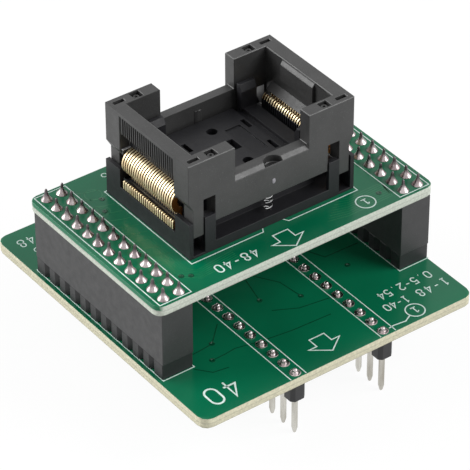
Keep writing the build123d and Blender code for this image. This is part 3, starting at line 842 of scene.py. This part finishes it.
# Plated holes and the tracks that show faintly through the mask
TRACK_W = 0.14
THIN_TRACK_W = 0.13
RING_TRACK_W = 0.11
BASE_TRACK_W = 0.18
VIA = [(0.42, 0.0), (0.42, 0.03), (0.34, 0.05), (0.2, 0.045), (0.17, 0.01)]
ADAPTER_VIAS = ((-15.63, 9.81), (-16.9, 7.24), (-17.05, -11.1), (-15.9, -11.75), (16.2, -12.1), (11.2, 13.2))
BASE_VIAS = ((-13.07, -12.52), (-15.14, -15.46), (-2.04, -8.73), (3.25, -11.31), (12.9, -9.6), (-3.8, 19.2))
BASE_TRACKS = (
    [(-11.13, -15.2), (-7.18, -16.09), (-2.46, -16.72), (4.11, -17.03)],
    [(6.41, -14.08), (1.43, -13.34), (-2.04, -11.5)],
    [(-0.68, -3.22), (-2.04, -8.73)],
    [(3.25, -11.31), (2.76, -7.08), (0.2, -3.0)],
    [(17.34, -6.33), (11.48, -6.18), (9.99, -2.86)],
    [(-17.9, -12.9), (-15.2, -12.75), (-13.07, -12.52), (-9.9, -9.4)],
    [(-15.14, -15.46), (-12.9, -15.4), (-11.13, -15.2)],
    [(-18.27, -15.5), (-16.6, -17.6), (-14.2, -18.0)],
)


def plated_holes(name, places, level, body, slot):
    holes = Shape()
    for x, y in places:
        lathe(holes, VIA, (x, y, level), 14)
    holes.piece(name, TRACE_DARK, body, slot, smooth=True)


def adapter_track_lines():
    """A fan from the right header, short tracks from the left one, and a bundle at the front left."""
    lines = []
    for k in range(9):
        y = -10.3 - 0.42 * k
        lines.append(([(19.31 - PITCH / 2, -11.0 + 0.1 * k), (17.3, y), (11.9 - 0.3 * k, y - 0.1),
                       (10.4 - 0.5 * k, y + 0.6)], TRACK_W))
    for k in range(10):
        y = 13.2 - 2.0 * k
        lines.append(([(-18.2, y), (-16.4 + 0.1 * k, y - 0.9), (-14.9, y - 1.2)], TRACK_W))
    for k in range(6):
        x = -15.4 - 0.36 * k
        lines.append(([(x, -1.0 - 0.8 * k), (x, -10.2 - 0.2 * k), (-14.6 - 0.1 * k, -11.2 - 0.36 * k),
                       (-8.2, -10.5 - 0.4 * k)], THIN_TRACK_W))
    return lines


def adapter_tracks():
    """The fine tracks, with rings round two holes at the rear left."""
    tracks = Shape()
    for line, width in adapter_track_lines():
        ribbon(tracks, line, width, ADAPTER_TOP, TRACK_T)
    for middle, radius in (((-16.0, 11.38), 1.25), ((-17.12, 7.44), 1.05), ((-17.12, 7.44), 0.7)):
        ring_line(tracks, middle, radius, RING_TRACK_W, ADAPTER_TOP, 24, TRACK_T)
    tracks.piece("adapter_tracks", TRACE, "adapter_module", "adapter_mask")


def base_tracks():
    tracks = Shape()
    for line in BASE_TRACKS:
        ribbon(tracks, line, BASE_TRACK_W, BASE_TOP, TRACK_T)
    tracks.piece("base_tracks", TRACE_DARK, "base_module", "base_mask")


plated_holes("adapter_vias", ADAPTER_VIAS, ADAPTER_TOP, "adapter_module", "adapter_mask")
plated_holes("base_vias", BASE_VIAS, BASE_TOP, "base_module", "base_mask")
adapter_tracks()
base_tracks()


# Floor, light and camera, in metres
WORLD_LIGHT = 0.25
FLOOR_HALF = 1.5
FLOOR_GLOW = 1.02
FLOOR_SEEN = 0.92
AIM = (0, 0, 0.018)
IMAGE_PIXELS = 470
FOCAL_PIXELS = 3158.2
SENSOR_MM = 36.0
CAMERA_PLACE = Vector((-211.477, -286.937, 282.421)) * MM
CAMERA_RIGHT = Vector((0.80371814, -0.5950052, -0.00244198))
CAMERA_UP = Vector((0.3579465, 0.48021864, 0.80078983))
CAMERA_FORWARD = Vector((0.47530143, 0.64448341, -0.59894046))


def seen_or_hidden(tree, seen, hidden):
    """One value for rays that see or reflect the backdrop, and another for its light on things."""
    path = tree.nodes.new("ShaderNodeLightPath")
    looking = path.outputs["Is Camera Ray"]
    for ray in ("Is Glossy Ray", "Is Transmission Ray"):
        either = tree.nodes.new("ShaderNodeMath")
        either.operation = "MAXIMUM"
        tree.links.new(looking, either.inputs[0])
        tree.links.new(path.outputs[ray], either.inputs[1])
        looking = either.outputs[0]
    choice = tree.nodes.new("ShaderNodeMapRange")
    tree.links.new(looking, choice.inputs["Value"])
    choice.inputs["To Min"].default_value = hidden
    choice.inputs["To Max"].default_value = seen
    return choice.outputs["Result"]


def add_world():
    world = bpy.data.worlds.new("studio")
    world.use_nodes = True
    background = world.node_tree.nodes["Background"]
    background.inputs["Color"].default_value = (1, 1, 1, 1)
    strength = seen_or_hidden(world.node_tree, 1.0, WORLD_LIGHT)
    world.node_tree.links.new(strength, background.inputs["Strength"])
    bpy.context.scene.world = world


def floor_material():
    """Nearly white to the camera, with the object's shadow still on it."""
    mat = bpy.data.materials.new("floor")
    mat.use_nodes = True
    tree = mat.node_tree
    diffuse = tree.nodes["Principled BSDF"]
    diffuse.inputs["Base Color"].default_value = (0.9, 0.9, 0.9, 1)
    diffuse.inputs["Roughness"].default_value = 0.9
    glow = tree.nodes.new("ShaderNodeEmission")
    glow.inputs["Strength"].default_value = FLOOR_GLOW
    blend = tree.nodes.new("ShaderNodeMixShader")
    tree.links.new(seen_or_hidden(tree, FLOOR_SEEN, 0.0), blend.inputs["Fac"])
    tree.links.new(diffuse.outputs[0], blend.inputs[1])
    tree.links.new(glow.outputs[0], blend.inputs[2])
    tree.links.new(blend.outputs[0], tree.nodes["Material Output"].inputs["Surface"])
    return mat


def add_floor():
    corners = [(-FLOOR_HALF, -FLOOR_HALF, 0), (FLOOR_HALF, -FLOOR_HALF, 0),
               (FLOOR_HALF, FLOOR_HALF, 0), (-FLOOR_HALF, FLOOR_HALF, 0)]
    mesh = bpy.data.meshes.new("floor")
    mesh.from_pydata(corners, [], [[0, 1, 2, 3]])
    mesh.materials.append(floor_material())
    floor = bpy.data.objects.new("floor", mesh)
    bpy.context.scene.collection.objects.link(floor)


def soft_light(name, place, size, power):
    """A square soft light that faces the object."""
    lamp = bpy.data.lights.new(name, "AREA")
    lamp.shape = "SQUARE"
    lamp.size = size
    lamp.energy = power
    made = bpy.data.objects.new(name, lamp)
    bpy.context.scene.collection.objects.link(made)
    made.location = place
    aim = Vector(AIM) - Vector(place)
    made.rotation_euler = aim.to_track_quat("-Z", "Y").to_euler()


def add_camera():
    """The photograph's view of the object."""
    data = bpy.data.cameras.new("camera")
    data.sensor_width = SENSOR_MM
    data.lens = FOCAL_PIXELS / IMAGE_PIXELS * SENSOR_MM
    data.clip_start = 0.01
    camera = bpy.data.objects.new("camera", data)
    bpy.context.scene.collection.objects.link(camera)
    turn = Matrix((CAMERA_RIGHT, CAMERA_UP, -CAMERA_FORWARD)).transposed().to_4x4()
    camera.matrix_world = Matrix.Translation(CAMERA_PLACE) @ turn
    bpy.context.scene.camera = camera


add_world()
add_floor()
soft_light("left_soft_light", (-0.5, 0.48, 0.37), 0.62, 6.0)
soft_light("right_soft_light", (0.52, -0.55, 0.5), 0.62, 7.0)
add_camera()
bpy.context.scene.view_settings.view_transform = "Standard"
